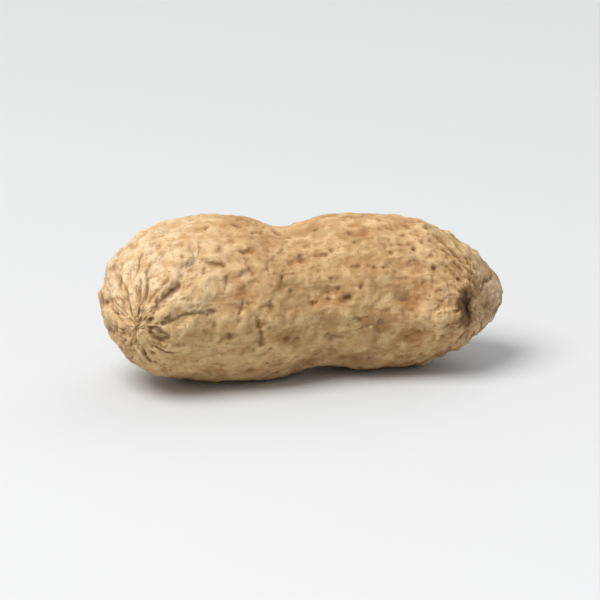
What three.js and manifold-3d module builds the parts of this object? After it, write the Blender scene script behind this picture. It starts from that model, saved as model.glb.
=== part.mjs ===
// A whole peanut pod with two seed lobes, lying on its side on a table.
// Millimetres, +Z up. X runs from the apex end to the stalk end, and both ends curl towards -Y.
// The origin is on the table, under the middle of the pod's box.
import * as THREE from "three";
import { mergeVertices } from "three/addons/utils/BufferGeometryUtils.js";
import Module from "manifold-3d";

// Driving dimensions
const APEX_LOBE_RADIUS = 8.3;
const STALK_LOBE_RADIUS = 7.85;
const WAIST_DEPTH = 1.25; // how far the shell narrows between the lobes
const WAIST_SHARE = 0.525; // where the waist is, as a share of the spine's length
const WAIST_SPREAD = 0.09; // half-width of the waist, as a share of the spine's length
const WAIST_LEAN = 0.043; // how far the waist's top leans towards the apex, as a share
const APEX_BLUNTNESS = 3.6; // a higher power keeps a lobe full until nearer its tip
const STALK_BLUNTNESS = 3.7;
const APEX_HOOK = 3; // how far each tip is curled inwards from the spine's end
const STALK_HOOK = 4;
const LOBE_CHANGE = { from: 0.25, to: 0.75 }; // shares where one lobe's values give way to the other's
const FOOT_DEPTH = 0.28; // how much of each lobe's belly is pressed flat where the pod rests

// The pod's middle line. Its height is set afterwards, when the pod is put on the table.
const SPINE_POINTS = [
  new THREE.Vector3(-19.2, -2.8, 8.1), // apex end
  new THREE.Vector3(-12, 1.2, 8.35), // apex lobe
  new THREE.Vector3(0, 1.6, 7.5), // waist
  new THREE.Vector3(10.6, 1.3, 7.4), // stalk lobe
  new THREE.Vector3(18.4, -2.6, 7.7), // stalk end
];

// Surface relief
const RIBS = 12; // veins that run from tip to tip
const RIB_HEIGHT = 0.26;
const RIB_HEIGHT_AT_WAIST = 0.45; // as a share of the height near the tips
const RIB_RISE = { from: 0.3, to: 0.9 }; // shares of the way to a tip, where the ribs grow
const RIB_WANDER = 0.1; // radians
const RIB_WAVES = [
  { rate: 9, lean: 2, size: 1 },
  { rate: 15, lean: 1, size: 0.6 },
];
const SUTURE_HEIGHT = 0.09; // the low keel along the pod's two seams
const SUTURE_SPREAD = 0.16; // radians
const BEAK = { height: 2.3, share: 0.97, spread: 0.075, angle: 1.06 * Math.PI, width: 0.85 };
const APEX_NUB = { radius: 1, height: 0.25 };
const STALK_SCAR = { radius: 1.25, depth: 1.1, rim: 0.35, offset: 1 };
const SMOOTH_TIP = 3; // the relief fades where a section's radius is smaller than this

// Mesh density
const STEPS_AROUND = 72;
const STEPS_ALONG = 56;
const WELD = 1e-4; // vertices nearer than this become one

const UP = new THREE.Vector3(0, 0, 1);
const spine = new THREE.CatmullRomCurve3(SPINE_POINTS);
const spineLength = spine.getLength();

const bell = (x) => Math.exp(-x * x);

// Changes smoothly from the apex lobe's value to the stalk lobe's, across the waist
function betweenTips(apexValue, stalkValue, share) {
  const change = THREE.MathUtils.smoothstep(share, LOBE_CHANGE.from, LOBE_CHANGE.to);
  return THREE.MathUtils.lerp(apexValue, stalkValue, change);
}

// How full a section is, from 0 at a tip to 1 between the lobes
function fullness(share) {
  const bluntness = betweenTips(APEX_BLUNTNESS, STALK_BLUNTNESS, share);
  return Math.sqrt(Math.max(0, 1 - Math.abs(2 * share - 1) ** bluntness));
}

// The shell's radius before any relief, at a share of the spine's length
function bodyRadius(share, angle) {
  const lobe = betweenTips(APEX_LOBE_RADIUS, STALK_LOBE_RADIUS, share);
  const waistShare = WAIST_SHARE - WAIST_LEAN * Math.sin(angle);
  const waist = WAIST_DEPTH * bell((share - waistShare) / WAIST_SPREAD);
  return (lobe - waist) * fullness(share);
}

// Low rounded veins, highest near the tips, where they draw together
function ribRelief(share, angle) {
  let wander = 0;
  for (const wave of RIB_WAVES) wander += wave.size * Math.sin(wave.rate * share + wave.lean * Math.sin(angle));
  const crest = 0.5 + 0.5 * Math.cos(RIBS * (angle + RIB_WANDER * wander));
  const nearTip = THREE.MathUtils.smoothstep(Math.abs(2 * share - 1), RIB_RISE.from, RIB_RISE.to);
  const height = RIB_HEIGHT * THREE.MathUtils.lerp(RIB_HEIGHT_AT_WAIST, 1, nearTip);
  return height * crest * crest;
}

// The two seams lie in the plane that the pod bends in, at angles 0 and pi
function sutureRelief(angle) {
  const fromSeam = Math.asin(Math.abs(Math.sin(angle)));
  return SUTURE_HEIGHT * bell(fromSeam / SUTURE_SPREAD);
}

// The shell's pinched beak, on the outside of the bend beside the stalk scar
function beakRelief(share, angle) {
  const along = bell((share - BEAK.share) / BEAK.spread);
  const around = bell((2 * Math.sin((angle - BEAK.angle) / 2)) / BEAK.width);
  return BEAK.height * along * around;
}

// A nub where the style was, and the pit where the stalk broke off, with a raised rim.
// Both run along the spine, so a negative value digs into the stalk end.
function tipRelief(share, angle, radius) {
  if (share < 0.5) return -APEX_NUB.height * bell(radius / APEX_NUB.radius);
  const fromScar = Math.hypot(radius * Math.cos(angle) - STALK_SCAR.offset, radius * Math.sin(angle));
  const pit = STALK_SCAR.depth * bell(fromScar / STALK_SCAR.radius);
  const rim = STALK_SCAR.rim * bell((fromScar - 2 * STALK_SCAR.radius) / STALK_SCAR.radius);
  return rim - pit;
}

// A point of the shell. Angle 0 is the inside of the bend, and a quarter turn is the top.
function shellPoint(share, angle) {
  const radius = bodyRadius(share, angle);
  const tangent = spine.getTangentAt(share);
  const inward = new THREE.Vector3().crossVectors(tangent, UP).normalize();
  const upward = new THREE.Vector3().crossVectors(inward, tangent);
  const faded = THREE.MathUtils.smoothstep(radius, 0, SMOOTH_TIP);
  const beak = faded * beakRelief(share, angle);
  const reach = radius + beak + faded * (ribRelief(share, angle) + sutureRelief(angle));
  const hook = betweenTips(APEX_HOOK, STALK_HOOK, share) * (1 - fullness(share));
  return spine
    .getPointAt(share)
    .addScaledVector(inward, hook + reach * Math.cos(angle))
    .addScaledVector(upward, reach * Math.sin(angle))
    .addScaledVector(tangent, beak + tipRelief(share, angle, radius));
}

// The shell as a sphere's grid, with its poles at the tips, laid on the pod's own surface
function shellGeometry() {
  const geometry = new THREE.SphereGeometry(1, STEPS_AROUND, STEPS_ALONG);
  const { position, uv } = geometry.attributes;
  for (let i = 0; i < position.count; i++) {
    const share = (1 + Math.cos(Math.PI * uv.getY(i))) / 2;
    const point = shellPoint(share, 2 * Math.PI * uv.getX(i));
    position.setXYZ(i, point.x, point.y, point.z);
  }
  geometry.deleteAttribute("normal");
  geometry.deleteAttribute("uv");
  return mergeVertices(geometry, WELD);
}

const wasm = await Module();
wasm.setup();

function solidOf(geometry) {
  const vertProperties = new Float32Array(geometry.attributes.position.array);
  const triVerts = new Uint32Array(geometry.index.array);
  return new wasm.Manifold(new wasm.Mesh({ numProp: 3, vertProperties, triVerts }));
}

function geometryOf(solid) {
  const mesh = solid.getMesh();
  const geometry = new THREE.BufferGeometry();
  geometry.setAttribute("position", new THREE.BufferAttribute(mesh.vertProperties, 3));
  geometry.setIndex(new THREE.BufferAttribute(mesh.triVerts, 1));
  geometry.computeVertexNormals();
  return geometry;
}

// The table's space, which presses the two feet flat
function tableGeometry(top) {
  const side = 2 * spineLength;
  const box = new THREE.BoxGeometry(side, side, side);
  box.translate(0, 0, top - side / 2);
  box.deleteAttribute("normal");
  box.deleteAttribute("uv");
  return mergeVertices(box, WELD);
}

const shell = shellGeometry();
shell.computeBoundingBox();
const tableHeight = shell.boundingBox.min.z + FOOT_DEPTH;
const rested = geometryOf(solidOf(shell).subtract(solidOf(tableGeometry(tableHeight))));

const shellMaterial = new THREE.MeshStandardMaterial({ color: 0xc79f6d, roughness: 0.85, metalness: 0 });
const pod = new THREE.Mesh(rested, shellMaterial);
pod.name = "peanut_pod";

// Centred over the origin, with the table at z = 0
rested.computeBoundingBox();
const middle = rested.boundingBox.getCenter(new THREE.Vector3());
pod.position.set(-middle.x, -middle.y, -tableHeight);

const peanut = new THREE.Group();
peanut.add(pod);

export default peanut;
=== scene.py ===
# A peanut pod with two seed lobes, lying on its side on a plain pale table.
import bpy
import math
import numpy as np
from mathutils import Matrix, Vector


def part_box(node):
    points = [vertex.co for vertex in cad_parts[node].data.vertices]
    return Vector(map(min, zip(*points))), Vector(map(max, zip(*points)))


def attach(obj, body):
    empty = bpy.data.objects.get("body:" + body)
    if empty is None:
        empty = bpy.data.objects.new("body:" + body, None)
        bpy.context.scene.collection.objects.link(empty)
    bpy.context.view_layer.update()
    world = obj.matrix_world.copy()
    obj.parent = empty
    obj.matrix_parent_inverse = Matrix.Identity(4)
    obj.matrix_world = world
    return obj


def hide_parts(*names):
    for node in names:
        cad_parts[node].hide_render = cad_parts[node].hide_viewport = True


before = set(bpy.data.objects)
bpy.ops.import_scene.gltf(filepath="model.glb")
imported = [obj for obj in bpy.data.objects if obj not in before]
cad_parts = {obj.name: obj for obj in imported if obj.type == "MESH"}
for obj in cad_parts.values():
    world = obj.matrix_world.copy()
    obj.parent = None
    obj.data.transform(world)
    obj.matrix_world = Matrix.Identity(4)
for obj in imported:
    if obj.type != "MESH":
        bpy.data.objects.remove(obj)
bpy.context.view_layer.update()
scene = bpy.context.scene
mm = 0.001
podLow, podHigh = (Vector(corner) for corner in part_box("peanut_pod"))


def inPod(x, y, z):  # a place given as shares of the pod's box
    return Vector(low + share * (high - low) for share, low, high in zip((x, y, z), podLow, podHigh))


def plug(tree, socket, value):  # a link where the value comes from a node, else a set value
    if isinstance(value, bpy.types.NodeSocket):
        tree.links.new(value, socket)
    elif value is not None:
        socket.default_value = value


def addNode(tree, kind, inputs=None, **settings):
    node = tree.nodes.new(kind)
    for name, value in settings.items():
        setattr(node, name, value)
    for name, value in (inputs or {}).items():
        plug(tree, node.inputs[name], value)
    return node


def maths(tree, operation, *values):
    node = addNode(tree, "ShaderNodeMath", operation=operation)
    for socket, value in zip(node.inputs, values):
        plug(tree, socket, value)
    return node.outputs[0]


def vectorMaths(tree, operation, *values):
    node = addNode(tree, "ShaderNodeVectorMath", operation=operation)
    for socket, value in zip(node.inputs, values):
        plug(tree, socket, value)
    return node.outputs["Value" if operation == "LENGTH" else "Vector"]


def scaled(tree, vector, factor):
    node = addNode(tree, "ShaderNodeVectorMath", operation="SCALE")
    plug(tree, node.inputs[0], vector)
    plug(tree, node.inputs["Scale"], factor)
    return node.outputs["Vector"]


def split(tree, vector):
    return addNode(tree, "ShaderNodeSeparateXYZ", {"Vector": vector}).outputs


def joined(tree, x, y, z):
    return addNode(tree, "ShaderNodeCombineXYZ", {"X": x, "Y": y, "Z": z}).outputs["Vector"]


def smoothRange(tree, value, start, end, low=0.0, high=1.0):  # eases from low to high between start and end
    node = addNode(tree, "ShaderNodeMapRange", interpolation_type="SMOOTHSTEP")
    for socket, number in zip(node.inputs, (value, start, end, low, high)):
        plug(tree, socket, number)
    return node.outputs["Result"]


def noise(tree, place, scale, detail=2.0, roughness=0.5, output="Fac"):
    settings = {"Vector": place, "Scale": scale, "Detail": detail, "Roughness": roughness}
    return addNode(tree, "ShaderNodeTexNoise", settings).outputs[output]


def centred(tree, value):  # from -0.5 to 0.5, not from 0 to 1
    return maths(tree, "SUBTRACT", value, 0.5)


def drifted(tree, place, scale, amount):  # the place pushed about by a soft noise
    push = vectorMaths(tree, "SUBTRACT", noise(tree, place, scale, output="Color"), (0.5, 0.5, 0.5))
    return vectorMaths(tree, "ADD", place, scaled(tree, push, amount))


def blend(tree, share, first, second):  # for plain numbers
    return maths(tree, "MULTIPLY_ADD", maths(tree, "SUBTRACT", second, first), share, first)


def mixColour(tree, share, first, second):
    node = addNode(tree, "ShaderNodeMix", {"Factor": share}, data_type="RGBA")
    for socket, value in ((node.inputs[6], first), (node.inputs[7], second)):  # the node's colour sockets
        plug(tree, socket, value if isinstance(value, bpy.types.NodeSocket) else (*value, 1))
    return node.outputs[2]


def mixVector(tree, share, first, second):
    node = addNode(tree, "ShaderNodeMix", {"Factor": share}, data_type="VECTOR", clamp_factor=True)
    for socket, value in ((node.inputs[4], first), (node.inputs[5], second)):  # the node's vector sockets
        plug(tree, socket, value)
    return node.outputs[1]


viewPoint = {
    "azimuth": -16,  # degrees, round to the apex end
    "elevation": 17,
    "distance": 0.65,  # metres
    "lens": 396,  # millimetres, long enough for the pod to fill the frame
    "aim": (0.5, 0.5, 0.44),  # shares of the pod's box
    "nearest": 0.01,
}


def addCamera(choice):
    turn, rise = math.radians(choice["azimuth"]), math.radians(choice["elevation"])
    aim = inPod(*choice["aim"])
    away = Vector((math.sin(turn) * math.cos(rise), -math.cos(turn) * math.cos(rise), math.sin(rise)))
    lens = bpy.data.cameras.new("viewCamera")
    lens.lens = choice["lens"]
    lens.clip_start = choice["nearest"]
    camera = bpy.data.objects.new("viewCamera", lens)
    camera.location = aim + away * choice["distance"]
    camera.rotation_euler = (-away).to_track_quat("-Z", "Y").to_euler()
    scene.collection.objects.link(camera)
    scene.camera = camera


studioLight = {
    "key": {"place": (-0.28, -0.12, 0.52), "size": 0.42, "watts": 3.85, "tint": (1.0, 0.985, 0.96)},
    "fill": {"place": (0.45, 0.35, 0.45), "size": 0.7, "watts": 0.9, "tint": (0.96, 0.98, 1.0)},
    "horizon": (0.33, 0.346, 0.358),
    "overhead": (0.48, 0.49, 0.50),
    "skyline": 0.6,  # how high the horizon's tone reaches, of a sky 1 high
}


def addLights(choice):
    for name in ("key", "fill"):
        lamp = choice[name]
        light = bpy.data.lights.new(name + "Light", "AREA")
        light.shape = "DISK"
        light.size = lamp["size"]
        light.energy = lamp["watts"]
        light.color = lamp["tint"]
        holder = bpy.data.objects.new(name + "Light", light)
        holder.location = lamp["place"]
        holder.rotation_euler = (-Vector(lamp["place"])).to_track_quat("-Z", "Y").to_euler()
        scene.collection.objects.link(holder)
    world = bpy.data.worlds.new("paleStudio")
    world.use_nodes = True
    tree = world.node_tree
    way = addNode(tree, "ShaderNodeTexCoord").outputs["Generated"]
    rise = smoothRange(tree, split(tree, way)["Z"], 0.0, choice["skyline"])
    sky = mixColour(tree, rise, choice["horizon"], choice["overhead"])
    tree.links.new(sky, tree.nodes["Background"].inputs["Color"])
    scene.world = world
    scene.view_settings.view_transform = "Standard"


addCamera(viewPoint)
addLights(studioLight)
print("camera and light are set")


table = {
    "width": 6.0,  # metres, so that its edge is never seen
    "colour": (0.655, 0.67, 0.68),
    "roughness": 0.5,
}


def addTable(choice):
    half = choice["width"] / 2
    mesh = bpy.data.meshes.new("tableTop")
    corners = [(-half, -half, 0), (half, -half, 0), (half, half, 0), (-half, half, 0)]
    mesh.from_pydata(corners, [], [(0, 1, 2, 3)])
    material = bpy.data.materials.new("paleLaminate")
    material.use_nodes = True
    shader = material.node_tree.nodes["Principled BSDF"]
    shader.inputs["Roughness"].default_value = choice["roughness"]
    shader.inputs["Base Color"].default_value = (*choice["colour"], 1)
    mesh.materials.append(material)
    top = bpy.data.objects.new("table_top", mesh)
    scene.collection.objects.link(top)


addTable(table)
print("table is laid")


shellLook = {
    "apexGround": (0.50, 0.296, 0.118),  # the shell between its veins
    # the stalk lobe's ground: partly its own browner tone, partly painted shade, as it lies away from the key
    # light
    "stalkGroundAndShade": (0.262, 0.124, 0.037),
    "pale": (0.76, 0.525, 0.27),  # random pale patches, and the veins: partly rubbed paler shell, partly painted highlight on their crests
    "bleachedAndHighlight": (0.81, 0.62, 0.415),  # painted highlight on the apex lobe's top; on the beak partly its own paler shell, partly painted reflection
    "warm": (0.36, 0.160, 0.047),
    "olive": (0.37, 0.25, 0.075),
    "hollow": (0.18, 0.083, 0.026),  # dark brown: real dark flecks and the scar's rim, and painted shade in pits, furrows, dimples and pressed marks
    "stain": (0.070, 0.028, 0.008),  # the broken stalk's scar
    "patterns": {  # a noise's scale, detail and roughness, then where its tint starts and ends, and its most
        "cloud": (0.16, 3.0, 0.5, 0.4, 0.63, 0.8),
        "moss": (0.3, 3.0, 0.5, 0.5, 0.7, 0.6),
        "mottle": (0.8, 4.0, 0.6, 0.46, 0.66, 0.6),
        "fibre": (1.0, 4.0, 0.6, 0.5, 0.7, 0.5),
        "speck": (3.2, 2.0, 0.5, 0.62, 0.72, 0.55),
    },
    "fibreStretch": (2.6, 2.6, 0.5),  # short across the pod, and long down it
    "mossShift": (40, 0, 0),  # so that the moss isn't where the clouds are
    "lobeToneAndShade": (16.0, 46.0),  # millimetres down the pod, where one lobe's ground gives way to the other's darker one, which is partly painted shade
    "lobeToneAndShadeSway": 16.0,
    "crownReach": (20.0, 8.0),
    "crownRise": (-2.0, 5.0),
    "beakReach": (39.0, 45.0, 0.0, 0.95),
    "highlightBreakup": (0.38, 0.6, 0.1, 0.7),
    "veinPaleAndHighlight": 0.6,
    "hollowShadeCover": 0.85,
    "stainRim": (0.0, 0.5, 0.0, 0.75),
    "stainHeart": (0.4, 1.0),
    "roughness": (0.3, 0.7, 0.64, 0.84),
    "speckRelief": 0.5,
    "reliefHeight": 0.06,
    "reliefStrength": 0.55,
    "gloss": 0.35,
}


def makeShellMaterial(look):
    material = bpy.data.materials.new("dryShell")
    material.use_nodes = True
    tree = material.node_tree
    shader = tree.nodes["Principled BSDF"]
    read = {name: addNode(tree, "ShaderNodeAttribute", attribute_name=name).outputs
            for name in ("skinPlace", "vein", "hollow", "stain")}
    skin = read["skinPlace"]["Vector"]
    vein, hollow, stain = (read[name]["Fac"] for name in ("vein", "hollow", "stain"))
    shifted = {"fibre": vectorMaths(tree, "MULTIPLY", skin, look["fibreStretch"]),
               "moss": vectorMaths(tree, "ADD", skin, look["mossShift"])}
    pattern = {}
    for name, choice in look["patterns"].items():
        pattern[name] = noise(tree, shifted.get(name, skin), *choice[:3])

    def cover(name):
        start, end, most = look["patterns"][name][3:]
        return smoothRange(tree, pattern[name], start, end, 0.0, most)

    where = split(tree, skin)
    # darker towards the stalk end: partly the lobes' own tones, partly painted shade
    lobeToneAndShade = maths(tree, "MULTIPLY_ADD", pattern["cloud"], look["lobeToneAndShadeSway"], where["Z"])
    # painted highlight on the apex lobe's top, and the paler beak with painted reflection, broken up by the
    # mottle
    crown = maths(tree, "MULTIPLY", smoothRange(tree, where["Z"], *look["crownReach"]),
                  smoothRange(tree, where["Y"], *look["crownRise"]))
    highlightAndPaleBeak = maths(tree, "MAXIMUM", crown, smoothRange(tree, where["Z"], *look["beakReach"]))
    highlightAndPaleBeak = maths(tree, "MULTIPLY", highlightAndPaleBeak, smoothRange(tree, pattern["mottle"], *look["highlightBreakup"]))
    lobeToneAndShade = smoothRange(tree, lobeToneAndShade, *look["lobeToneAndShade"])
    colour = mixColour(tree, lobeToneAndShade, look["apexGround"], look["stalkGroundAndShade"])
    for tint, share in (
            ("warm", cover("cloud")),
            ("olive", cover("moss")),
            ("pale", cover("mottle")),
            # the veins paled: partly rubbed shell, partly painted highlight on the crests
            ("pale", maths(tree, "MULTIPLY", vein, look["veinPaleAndHighlight"])),
            # painted highlight and reflection, from the mix above
            ("bleachedAndHighlight", highlightAndPaleBeak),
            ("warm", cover("fibre")),
            ("hollow", cover("speck")),
            # painted shade in the hollows
            ("hollow", maths(tree, "MULTIPLY", hollow, look["hollowShadeCover"])),
            ("hollow", smoothRange(tree, stain, *look["stainRim"])),
            ("stain", smoothRange(tree, stain, *look["stainHeart"])),
    ):
        colour = mixColour(tree, share, colour, look[tint])
    tree.links.new(colour, shader.inputs["Base Color"])
    tree.links.new(smoothRange(tree, pattern["fibre"], *look["roughness"]), shader.inputs["Roughness"])
    grain = maths(tree, "MULTIPLY_ADD", pattern["speck"], look["speckRelief"], pattern["fibre"])
    bump = addNode(tree, "ShaderNodeBump", {
        "Strength": look["reliefStrength"], "Distance": look["reliefHeight"] * mm, "Height": grain})
    tree.links.new(bump.outputs["Normal"], shader.inputs["Normal"])
    shader.inputs["Specular IOR Level"].default_value = look["gloss"]
    return material


dryShell = makeShellMaterial(shellLook)
print("shell material is mixed")


podSkin = {  # the skin tree's named inputs
    "around": 384,  # faces round the pod
    "along": 254,  # faces from tip to tip
    "apexPole": (0.038, 0.098, 0.50),  # shares of the pod's box
    "stalkPole": (0.872, 0.066, 0.467),
    "apexHeart": (0.215, 0.49, 0.50),  # the middle of each lobe's round end
    "stalkHeart": (0.745, 0.50, 0.455),
    "scar": (0.862, 0.045, 0.478),
    "capShare": 0.27,  # how much of the skin's length lies round each end
    "ribs": 12,
    "ribHeight": 0.12,  # millimetres from here on
    "netSize": 2.9,
    "netHeight": 0.24,
    "meshSize": 1.25,
    "meshHeight": 0.2,
    "lumpHeight": 0.5,
    "dimpleDepth": 0.2,
    "furrows": 17,
    "furrowDepth": 0.22,
    "foldDepth": 0.17,
    "pitSpacing": 1.6,
    "pitWidth": 0.5,
    "pitDepth": 0.3,
    "seed": 7,
}
skinGrain = {  # the scales of the skin's noises, per millimetre, and the edges of its fades
    "weld": 1e-7,  # metres: nearer corners become one
    "smoothing": 2,  # how many times the shell's faces are split
    "farthest": 1.0,  # metres
    "middle": (0.0, -8.0, 25.0),  # moves the patterns' starting place off the pod
    "skinLength": 50.0,  # millimetres from tip to tip
    "tipRadius": 2.4,
    "bodyRadius": 8.0,
    "fullBody": (-0.14, 0.3),  # the share where the body is full: its change to the outside, and its start
    "outsideWiden": 11.0,  # more skin round the outside of the bend
    "outsideLengthen": 1.15,
    "tipZone": (0.17, 0.06),  # shares of the length, from a tip
    "poleZone": (0.018, 0.07),
    "ribZone": (0.36, 0.12, 0.6, 1.0),
    "furrowZone": (0.2, 0.08),
    "stalkCalm": (0.8, 0.94, 1.0, 0.6),
    "coarseDrift": (0.3, 3.0),  # a scale, and how far it pushes
    "fineDrift": (1.3, 1.1),
    "netStretch": (1, 1, 0.62),
    "meshStretch": (1, 1, 0.78),
    "netWall": (0.0, 0.26, 1.0, 0.0),
    "meshWall": (0.0, 0.4, 1.0, 0.0),
    "sway": 0.28,
    "swayTurn": 0.8,  # radians
    "ribCrest": (-0.2, 1.0),
    "furrowFloor": (0.2, 0.95),
    "brokenFurrow": 0.7,
    "brokenRange": (0.42, 0.6),
    "patch": (0.14, 1.0),
    "patchRange": (0.35, 0.65, 0.75, 1.2),
    "lumps": 0.42,
    "ragged": (1.6, 3.0, 0.6),
    "raggedShare": 0.9,
    "dimpleEdge": (0.12, 0.42),
    "dimpleLuck": (0.4, 0.85),
    "dimplePatch": 0.22,
    "dimplePatchRange": (0.36, 0.58, 0.35, 1.0),
    "dimpleShade": 0.6,
    "pitGrade": (0.25, 1.0, 0.25, 1.0),
    "pitRagged": 0.12,
    "pitDensity": 4e5,  # points per square metre, before the spacing thins them
    "pitSeed": 3,
    "scarStretch": (1.1, 1, 0.7),
    "scarTorn": (900.0, 3.0, 0.6),  # this noise and the fold's drift are per metre
    "scarTear": 2.0,
    "scarEdge": (0.45, 1.85, 1.0, 0.0),
    "foldDrift": 420.0,
    "foldSway": 1.6,
    "foldRate": 9.5,  # radians per millimetre
    "foldReach": (5.5, 2.0),
    "foldSide": (0.3, 0.8),
    "fullVein": 0.4,  # millimetres
}


def socketTitle(key):  # apexPole becomes Apex Pole
    return "".join(" " + letter if letter.isupper() else letter for letter in key).title()


def startTree(name, choice):
    tree = bpy.data.node_groups.new(name, "GeometryNodeTree")
    kinds = {int: "NodeSocketInt", float: "NodeSocketFloat", tuple: "NodeSocketVector"}
    tree.interface.new_socket("Geometry", in_out="INPUT", socket_type="NodeSocketGeometry")
    for key, value in choice.items():
        tree.interface.new_socket(socketTitle(key), in_out="INPUT", socket_type=kinds[type(value)])
    tree.interface.new_socket("Material", in_out="INPUT", socket_type="NodeSocketMaterial")
    tree.interface.new_socket("Geometry", in_out="OUTPUT", socket_type="NodeSocketGeometry")
    return tree, tree.nodes.new("NodeGroupInput").outputs, tree.nodes.new("NodeGroupOutput").inputs


def keep(tree, geometry, name, value, kind="FLOAT"):
    inputs = {"Geometry": geometry, "Name": name, "Value": value}
    node = addNode(tree, "GeometryNodeStoreNamedAttribute", inputs, data_type=kind, domain="POINT")
    return node.outputs["Geometry"]


def recall(tree, name, kind="FLOAT"):
    node = addNode(tree, "GeometryNodeInputNamedAttribute", {"Name": name}, data_type=kind)
    return node.outputs["Attribute"]


def cells(tree, place, size, feature):
    scale = maths(tree, "DIVIDE", 1.0, size)
    return addNode(tree, "ShaderNodeTexVoronoi", {"Vector": place, "Scale": scale}, feature=feature).outputs


def position(tree):
    return addNode(tree, "GeometryNodeInputPosition").outputs["Position"]


def moved(tree, geometry, **inputs):
    return addNode(tree, "GeometryNodeSetPosition", {"Geometry": geometry, **inputs}).outputs["Geometry"]


def growGrid(tree, given):  # a ball's grid, whose poles become the tips
    ball = addNode(tree, "GeometryNodeMeshUVSphere", {
        "Segments": given["Around"], "Rings": given["Along"], "Radius": 1.0})
    x, y, z = split(tree, position(tree))
    share = maths(tree, "DIVIDE", maths(tree, "ARCCOSINE", z), math.pi)
    skin = keep(tree, ball.outputs["Mesh"], "share", share)
    return keep(tree, skin, "angle", maths(tree, "ARCTAN2", y, x))


def tipDistance(tree, share):  # from 0 at either tip to 0.5 in the middle
    return maths(tree, "PINGPONG", share, 0.5)


def layOnShell(tree, given, skin, share, angle, grain):  # each point looks out, and lands on the shell
    shell = addNode(tree, "GeometryNodeMergeByDistance", {
        "Geometry": given["Geometry"], "Distance": grain["weld"]})
    smooth = addNode(tree, "GeometryNodeSubdivisionSurface", {
        "Mesh": shell.outputs["Geometry"], "Level": grain["smoothing"]})
    cap = given["Cap Share"]
    turned = maths(tree, "MINIMUM", maths(tree, "DIVIDE", tipDistance(tree, share), cap), 1.0)
    turned = maths(tree, "MULTIPLY", turned, math.pi / 2)
    middle = maths(tree, "DIVIDE", maths(tree, "SUBTRACT", share, cap),
                   maths(tree, "SUBTRACT", 1.0, maths(tree, "MULTIPLY", cap, 2.0)))
    heart = mixVector(tree, middle, given["Apex Heart"], given["Stalk Heart"])
    pole = mixVector(tree, maths(tree, "GREATER_THAN", share, 0.5),
                     vectorMaths(tree, "SUBTRACT", given["Apex Pole"], given["Apex Heart"]),
                     vectorMaths(tree, "SUBTRACT", given["Stalk Pole"], given["Stalk Heart"]))
    sideways = joined(tree, 0.0, maths(tree, "MULTIPLY", maths(tree, "COSINE", angle), -1.0),
                      maths(tree, "SINE", angle))
    endways = scaled(tree, vectorMaths(tree, "NORMALIZE", pole), maths(tree, "COSINE", turned))
    ray = vectorMaths(tree, "ADD", endways, scaled(tree, sideways, maths(tree, "SINE", turned)))
    landed = addNode(tree, "GeometryNodeRaycast", {
        "Target Geometry": smooth.outputs["Mesh"], "Source Position": heart,
        "Ray Direction": ray, "Ray Length": grain["farthest"]})
    return moved(tree, skin, Position=landed.outputs["Hit Position"])


def outsideBend(tree, angle):  # 0 on the inside of the bend, and 1 on its outside
    return maths(tree, "MULTIPLY_ADD", maths(tree, "COSINE", angle), -0.5, 0.5)


def keepPlaces(tree, given, skin, share, angle, grain):  # where each point is, in millimetres
    x, y, z = split(tree, scaled(tree, position(tree), 1 / mm))
    spot = vectorMaths(tree, "ADD", joined(tree, maths(tree, "MULTIPLY", y, -1.0), z, x), grain["middle"])
    skin = keep(tree, skin, "skinPlace", spot, "FLOAT_VECTOR")  # across, up and along the pod

    # the same on the unrolled skin, which narrows at the tips
    cap = given["Cap Share"]
    fromTip = tipDistance(tree, share)
    outside = outsideBend(tree, angle)
    full = maths(tree, "MULTIPLY_ADD", outside, *grain["fullBody"])
    capLeft = maths(tree, "MAXIMUM", maths(tree, "SUBTRACT", cap, fromTip), 0.0)
    longer = maths(tree, "MULTIPLY", maths(tree, "MULTIPLY", outside, outside), capLeft)
    reach = smoothRange(tree, fromTip, 0.0, full, grain["tipRadius"],
                        maths(tree, "MULTIPLY_ADD", longer, grain["outsideWiden"], grain["bodyRadius"]))
    side = maths(tree, "SIGN", maths(tree, "SUBTRACT", share, 0.5))
    onward = maths(tree, "MULTIPLY", longer, side)
    along = maths(tree, "MULTIPLY_ADD", onward, grain["outsideLengthen"], share)
    unrolled = joined(tree, maths(tree, "MULTIPLY", reach, maths(tree, "COSINE", angle)),
                      maths(tree, "MULTIPLY", reach, maths(tree, "SINE", angle)),
                      maths(tree, "MULTIPLY", along, grain["skinLength"]))
    return keep(tree, skin, "tipPlace", unrolled, "FLOAT_VECTOR")


def makeNets(tree, given, place, tipPlace, fromTip, grain):  # distances to coarse and fine veins, and a draw
    body, tip = (drifted(tree, drifted(tree, start, *grain["coarseDrift"]), *grain["fineDrift"])
                 for start in (place, tipPlace))
    atTip = smoothRange(tree, fromTip, *grain["tipZone"])
    gaps = []
    for size, stretch in (("Net Size", "netStretch"), ("Mesh Size", "meshStretch")):
        both = [cells(tree, vectorMaths(tree, "MULTIPLY", start, grain[stretch]), given[size],
                      "DISTANCE_TO_EDGE")["Distance"] for start in (body, tip)]
        gaps.append(blend(tree, atTip, *both))
    smallCells = vectorMaths(tree, "MULTIPLY", body, grain["meshStretch"])
    drawn = cells(tree, smallCells, given["Mesh Size"], "F1")["Color"]  # one colour for each fine cell
    return gaps[0], gaps[1], split(tree, drawn)["X"]


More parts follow.
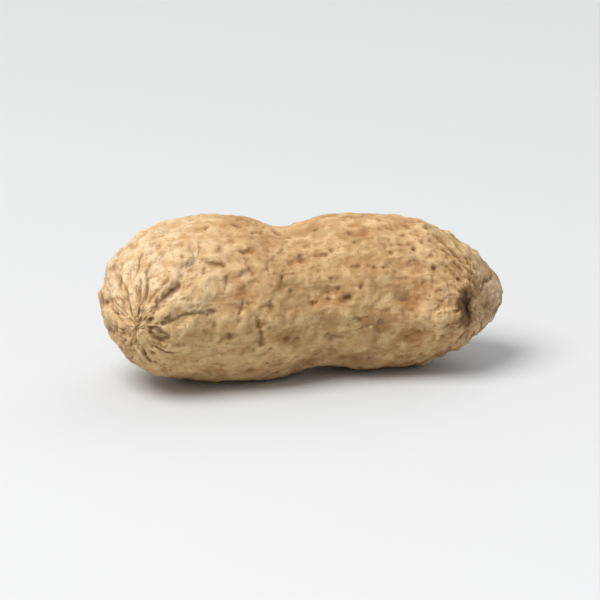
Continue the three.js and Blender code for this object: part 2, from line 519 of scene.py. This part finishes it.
def makeDimples(tree, place, fromWall, luck, grain):  # ragged hollows in some of the fine net's cells
    ragged = centred(tree, noise(tree, place, *grain["ragged"]))
    dimple = smoothRange(tree, maths(tree, "MULTIPLY_ADD", ragged, grain["raggedShare"], fromWall),
                         *grain["dimpleEdge"])
    dimple = maths(tree, "MULTIPLY", dimple, smoothRange(tree, luck, *grain["dimpleLuck"]))
    thick = smoothRange(tree, noise(tree, place, grain["dimplePatch"]), *grain["dimplePatchRange"])
    return maths(tree, "MULTIPLY", dimple, thick)


def makeFurrows(tree, given, place, swung, fromTip, offPole, grain):  # broken lines, out from each tip
    waves = maths(tree, "COSINE", maths(tree, "MULTIPLY", swung, given["Furrows"]))
    furrow = smoothRange(tree, waves, *grain["furrowFloor"])
    furrow = maths(tree, "MULTIPLY", furrow, smoothRange(tree, fromTip, *grain["furrowZone"]))
    broken = smoothRange(tree, noise(tree, place, grain["brokenFurrow"]), *grain["brokenRange"])
    return maths(tree, "MULTIPLY", maths(tree, "MULTIPLY", furrow, broken), offPole)


def makeScar(tree, given, angle, grain):  # where the stalk broke off, and the folds of shell beside it
    here = position(tree)
    fromScar = vectorMaths(tree, "SUBTRACT", here, given["Scar"])
    fromScar = vectorMaths(tree, "LENGTH", vectorMaths(tree, "MULTIPLY", fromScar, grain["scarStretch"]))
    fromScar = maths(tree, "DIVIDE", fromScar, mm)
    torn = centred(tree, noise(tree, here, *grain["scarTorn"]))
    torn = maths(tree, "MULTIPLY_ADD", torn, grain["scarTear"], fromScar)
    stain = smoothRange(tree, torn, *grain["scarEdge"])
    fold = maths(tree, "MULTIPLY_ADD", noise(tree, here, grain["foldDrift"]), grain["foldSway"], fromScar)
    fold = maths(tree, "COSINE", maths(tree, "MULTIPLY", fold, grain["foldRate"]))
    fold = maths(tree, "MULTIPLY", fold, smoothRange(tree, fromScar, *grain["foldReach"]))
    outside = smoothRange(tree, outsideBend(tree, angle), *grain["foldSide"])
    return stain, maths(tree, "MULTIPLY", fold, outside)


def scatterPits(tree, given, skin, mesh, grain):
    scatter = addNode(tree, "GeometryNodeDistributePointsOnFaces", {
        "Mesh": skin, "Distance Min": maths(tree, "MULTIPLY", given["Pit Spacing"], mm),
        "Density Max": grain["pitDensity"], "Seed": given["Seed"]}, distribute_method="POISSON")
    points = scatter.outputs["Points"]
    nearest = addNode(tree, "GeometryNodeProximity", {"Geometry": points}, target_element="POINTS")
    which = addNode(tree, "GeometryNodeSampleNearest", {"Geometry": points}, domain="POINT").outputs["Index"]
    pick = addNode(tree, "FunctionNodeRandomValue", {
        "ID": which, "Seed": grain["pitSeed"]}, data_type="FLOAT")
    pick.inputs[2].default_value, pick.inputs[3].default_value = 0.0, 1.0  # from none to all
    grade = smoothRange(tree, pick.outputs[1], *grain["pitGrade"])
    gap = maths(tree, "DIVIDE", nearest.outputs["Distance"], mm)
    gap = maths(tree, "MULTIPLY_ADD", mesh, grain["pitRagged"], gap)
    pit = smoothRange(tree, gap, 0.0, maths(tree, "MULTIPLY", given["Pit Width"], grade), 1.0, 0.0)
    return maths(tree, "MULTIPLY", pit, grade)


def makeSkinTree(choice, grain):
    tree, given, result = startTree("podSkin", choice)
    share, angle = recall(tree, "share"), recall(tree, "angle")
    skin = layOnShell(tree, given, growGrid(tree, given), share, angle, grain)
    skin = keepPlaces(tree, given, skin, share, angle, grain)
    place, tipPlace = (recall(tree, name, "FLOAT_VECTOR") for name in ("skinPlace", "tipPlace"))

    # veins: ribs from tip to tip, with a coarse and a fine net between them
    fromTip = tipDistance(tree, share)
    fromNet, fromWall, luck = makeNets(tree, given, place, tipPlace, fromTip, grain)
    net, mesh = smoothRange(tree, fromNet, *grain["netWall"]), smoothRange(tree, fromWall, *grain["meshWall"])
    sway = centred(tree, noise(tree, place, grain["sway"]))
    swung = maths(tree, "MULTIPLY_ADD", sway, grain["swayTurn"], angle)
    crest = smoothRange(tree, maths(tree, "COSINE", maths(tree, "MULTIPLY", swung, given["Ribs"])),
                        *grain["ribCrest"])
    offPole = smoothRange(tree, fromTip, *grain["poleZone"])
    strength = maths(tree, "MULTIPLY", smoothRange(tree, fromTip, *grain["ribZone"]),
                     smoothRange(tree, noise(tree, place, *grain["patch"]), *grain["patchRange"]))
    strength = maths(tree, "MULTIPLY", strength, smoothRange(tree, share, *grain["stalkCalm"]))
    stain, fold = makeScar(tree, given, angle, grain)
    vein = maths(tree, "MULTIPLY", maths(tree, "MULTIPLY", crest, offPole), given["Rib Height"])
    vein = maths(tree, "MULTIPLY_ADD", net, given["Net Height"], vein)
    vein = maths(tree, "MULTIPLY_ADD", mesh, given["Mesh Height"], vein)
    vein = maths(tree, "MULTIPLY_ADD", fold, given["Fold Depth"], maths(tree, "MULTIPLY", vein, strength))

    # all of the relief as one height in millimetres, less every hollow
    lumps = centred(tree, noise(tree, place, grain["lumps"]))
    height = maths(tree, "MULTIPLY_ADD", lumps, given["Lump Height"], vein)
    dimple = makeDimples(tree, place, fromWall, luck, grain)
    furrow = makeFurrows(tree, given, place, swung, fromTip, offPole, grain)
    pit = scatterPits(tree, given, skin, mesh, grain)
    for hollow, depth in ((dimple, "Dimple Depth"), (furrow, "Furrow Depth"), (pit, "Pit Depth")):
        height = maths(tree, "SUBTRACT", height, maths(tree, "MULTIPLY", hollow, given[depth]))
    # painted shade for the colour: furrows, pits and dimples are darkened
    hollow = maths(tree, "MAXIMUM", furrow, pit)
    hollow = maths(tree, "MAXIMUM", maths(tree, "MULTIPLY", dimple, grain["dimpleShade"]), hollow)
    vein = maths(tree, "DIVIDE", vein, grain["fullVein"])
    for name, value in (("vein", vein), ("hollow", hollow), ("stain", stain), ("height", height)):
        skin = keep(tree, skin, name, value)

    # pushed along the normal, and never through the table
    normal = addNode(tree, "GeometryNodeInputNormal").outputs["Normal"]
    skin = moved(tree, skin, Offset=scaled(tree, normal, maths(tree, "MULTIPLY", recall(tree, "height"), mm)))
    x, y, z = split(tree, position(tree))
    skin = moved(tree, skin, Position=joined(tree, x, y, maths(tree, "MAXIMUM", z, 0.0)))
    skin = addNode(tree, "GeometryNodeSetShadeSmooth", {"Geometry": skin}).outputs["Geometry"]
    skin = addNode(tree, "GeometryNodeRealizeInstances", {"Geometry": skin}).outputs["Geometry"]
    skin = addNode(tree, "GeometryNodeSetMaterial", {"Geometry": skin, "Material": given["Material"]})
    tree.links.new(skin.outputs["Geometry"], result["Geometry"])
    return tree


def makePod(choice, grain, finish):
    draft = bpy.data.objects.new("podDraft", bpy.data.objects["peanut_pod"].data.copy())
    scene.collection.objects.link(draft)
    modifier = draft.modifiers.new("podSkin", "NODES")
    modifier.node_group = makeSkinTree(choice, grain)
    values = {"Material": finish}
    for key, value in choice.items():
        values[socketTitle(key)] = inPod(*value) if isinstance(value, tuple) else value
    for item in modifier.node_group.interface.items_tree:
        if item.in_out == "INPUT" and item.name in values:
            modifier[item.identifier] = values[item.name]
    view = bpy.context.evaluated_depsgraph_get()
    grown = draft.evaluated_get(view)
    mesh = bpy.data.meshes.new_from_object(grown, preserve_all_data_layers=True, depsgraph=view)
    bpy.data.objects.remove(draft)
    mesh.name = "peanut_shell"
    pod = bpy.data.objects.new("peanut_shell", mesh)
    scene.collection.objects.link(pod)
    return pod


podMarks = {  # pressed in: each has a size, then shares of the length with degrees up from the bend's inside
    "pits": [
        (0.9, (0.01, 95)), (0.9, (0.02, 40)), (0.7, (0.10, 137)), (0.7, (0.08, 102)), (0.6, (0.07, 142)),
        (0.9, (0.28, -2)), (1.3, (0.315, -11)), (1.2, (0.445, -19)), (0.7, (0.47, -21)), (0.7, (0.40, -6)),
        (0.9, (0.56, 53)), (0.9, (0.56, 21)), (1.2, (0.58, 13)), (0.6, (0.54, 19)), (0.8, (0.71, 53)),
        (0.8, (0.78, 75)), (0.8, (0.82, 59)), (0.7, (0.71, 26)), (0.7, (0.725, -3)), (0.6, (0.83, -1)),
        (0.7, (0.93, 62)), (0.9, (0.91, -33)), (0.7, (0.86, -34)), (0.7, (0.89, -46)),
    ],
    "creases": [
        (1.1, [(0.04, 23), (0.08, 45), (0.16, 44)]), (0.7, [(0.055, 65), (0.08, 62), (0.13, 58)]),
        (0.7, [(0.025, 81), (0.05, 97), (0.075, 100)]), (0.6, [(0.025, 127), (0.07, 135)]),
        (0.9, [(0.04, 0), (0.09, 9)]), (0.8, [(0.10, 8), (0.18, 12), (0.23, 10), (0.28, 8)]),
        (0.7, [(0.035, -13), (0.07, -22), (0.095, -14)]), (0.6, [(0.03, 153), (0.075, 160)]),
        (0.9, [(0.28, 46), (0.31, 42)]), (0.9, [(0.375, 3), (0.38, -8), (0.385, -20)]),
        (0.6, [(0.345, 16), (0.335, 7)]), (0.45, [(0.417, 56), (0.406, 37)]),
        (0.45, [(0.378, 52), (0.358, 43), (0.374, 34)]), (0.45, [(0.417, 35), (0.465, 36)]),
        (0.5, [(0.315, 34), (0.307, 24)]), (0.55, [(0.488, 53), (0.547, 51)]),
        (0.5, [(0.594, 38), (0.66, 35)]), (0.5, [(0.598, -14), (0.63, -8), (0.65, -17)]),
        (0.5, [(0.709, -21), (0.736, -17)]), (0.6, [(0.693, 9), (0.709, 9)]),
    ],
    "pitWidth": 0.5,  # millimetres, at a size of 1
    "pitDepth": 0.26,
    "creaseWidth": 0.5,
    "creaseDepth": 0.26,
    "raggedness": 0.45,  # how much a mark's width wavers
    "ragged": ((5200, 3100, 4300), (-2300, 6100, 1700)),  # the waves that it wavers by, in radians per metre
    "dirt": (0.45, 2),  # how dark the painted shade in a mark is: a start, and more for each millimetre of depth
}


def toStretch(place, start, end):  # how far each place is from a straight stretch, or from one spot
    run = end - start
    share = np.clip(((place - start) @ run) / (run @ run or 1), 0, 1)
    return np.linalg.norm(place - start - share[:, None] * run, axis=1)


def readLayer(layer, name, width):
    values = np.empty(len(layer) * width)
    layer.foreach_get(name, values)
    return values.reshape(-1, width) if width > 1 else values


def pressMarks(mesh, marks, grain):
    place, normal = readLayer(mesh.vertices, "co", 3), readLayer(mesh.vertex_normals, "vector", 3)
    layers = [mesh.attributes[name].data for name in ("share", "angle", "hollow")]
    share, angle, hollow = (readLayer(layer, "value", 1) for layer in layers)

    def spot(along, degrees):  # the skin's own point nearest to a share and an angle
        turn = (angle - math.radians(degrees) + math.pi) % (2 * math.pi) - math.pi
        return place[np.hypot(grain["skinLength"] * (share - along), grain["bodyRadius"] * turn).argmin()]

    waves = [np.sin(place @ wave) for wave in marks["ragged"]]
    ragged = 1 + marks["raggedness"] * waves[0] * waves[1]
    shadeStart, shadeRise = marks["dirt"]
    strokes = []
    for size, pit in marks["pits"]:
        strokes.append(([pit, pit], size * marks["pitWidth"], size * marks["pitDepth"]))
    for size, path in marks["creases"]:
        strokes.append((path, size * marks["creaseWidth"], size * marks["creaseDepth"]))
    sunk = np.zeros(len(place))
    for path, width, depth in strokes:
        spots = [spot(*step) for step in path]
        away = np.min([toStretch(place, *ends) for ends in zip(spots, spots[1:])], axis=0)
        press = np.clip(1 - away / (width * mm * ragged), 0, 1)
        press = press * press * (3 - 2 * press)  # eased at the rim and on the floor
        sunk = np.maximum(sunk, press * depth * mm)
        # painted shade in the mark, darker the deeper it is
        hollow = np.maximum(hollow, press * min(1, shadeStart + shadeRise * depth))
    mesh.vertices.foreach_set("co", (place - normal * sunk[:, None]).ravel())
    mesh.attributes["hollow"].data.foreach_set("value", hollow)


def drawIn(mesh, low, high):  # the veins stand proud, so the skin is drawn in to the shell's own box
    place = readLayer(mesh.vertices, "co", 3)
    place[:, 2] = np.maximum(place[:, 2], 0)
    least, most = place.min(axis=0), place.max(axis=0)
    place = low + (place - least) / (most - least) * (high - low)
    mesh.vertices.foreach_set("co", place.ravel())
    mesh.update()


pod = makePod(podSkin, skinGrain, dryShell)
pressMarks(pod.data, podMarks, skinGrain)
drawIn(pod.data, np.array(podLow), np.array(podHigh))
for spare in ("share", "angle", "tipPlace", "height"):  # only needed while the skin grows
    pod.data.attributes.remove(pod.data.attributes[spare])
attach(pod, "root")
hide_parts("peanut_pod")
print("pod is grown:", len(pod.data.polygons), "faces")
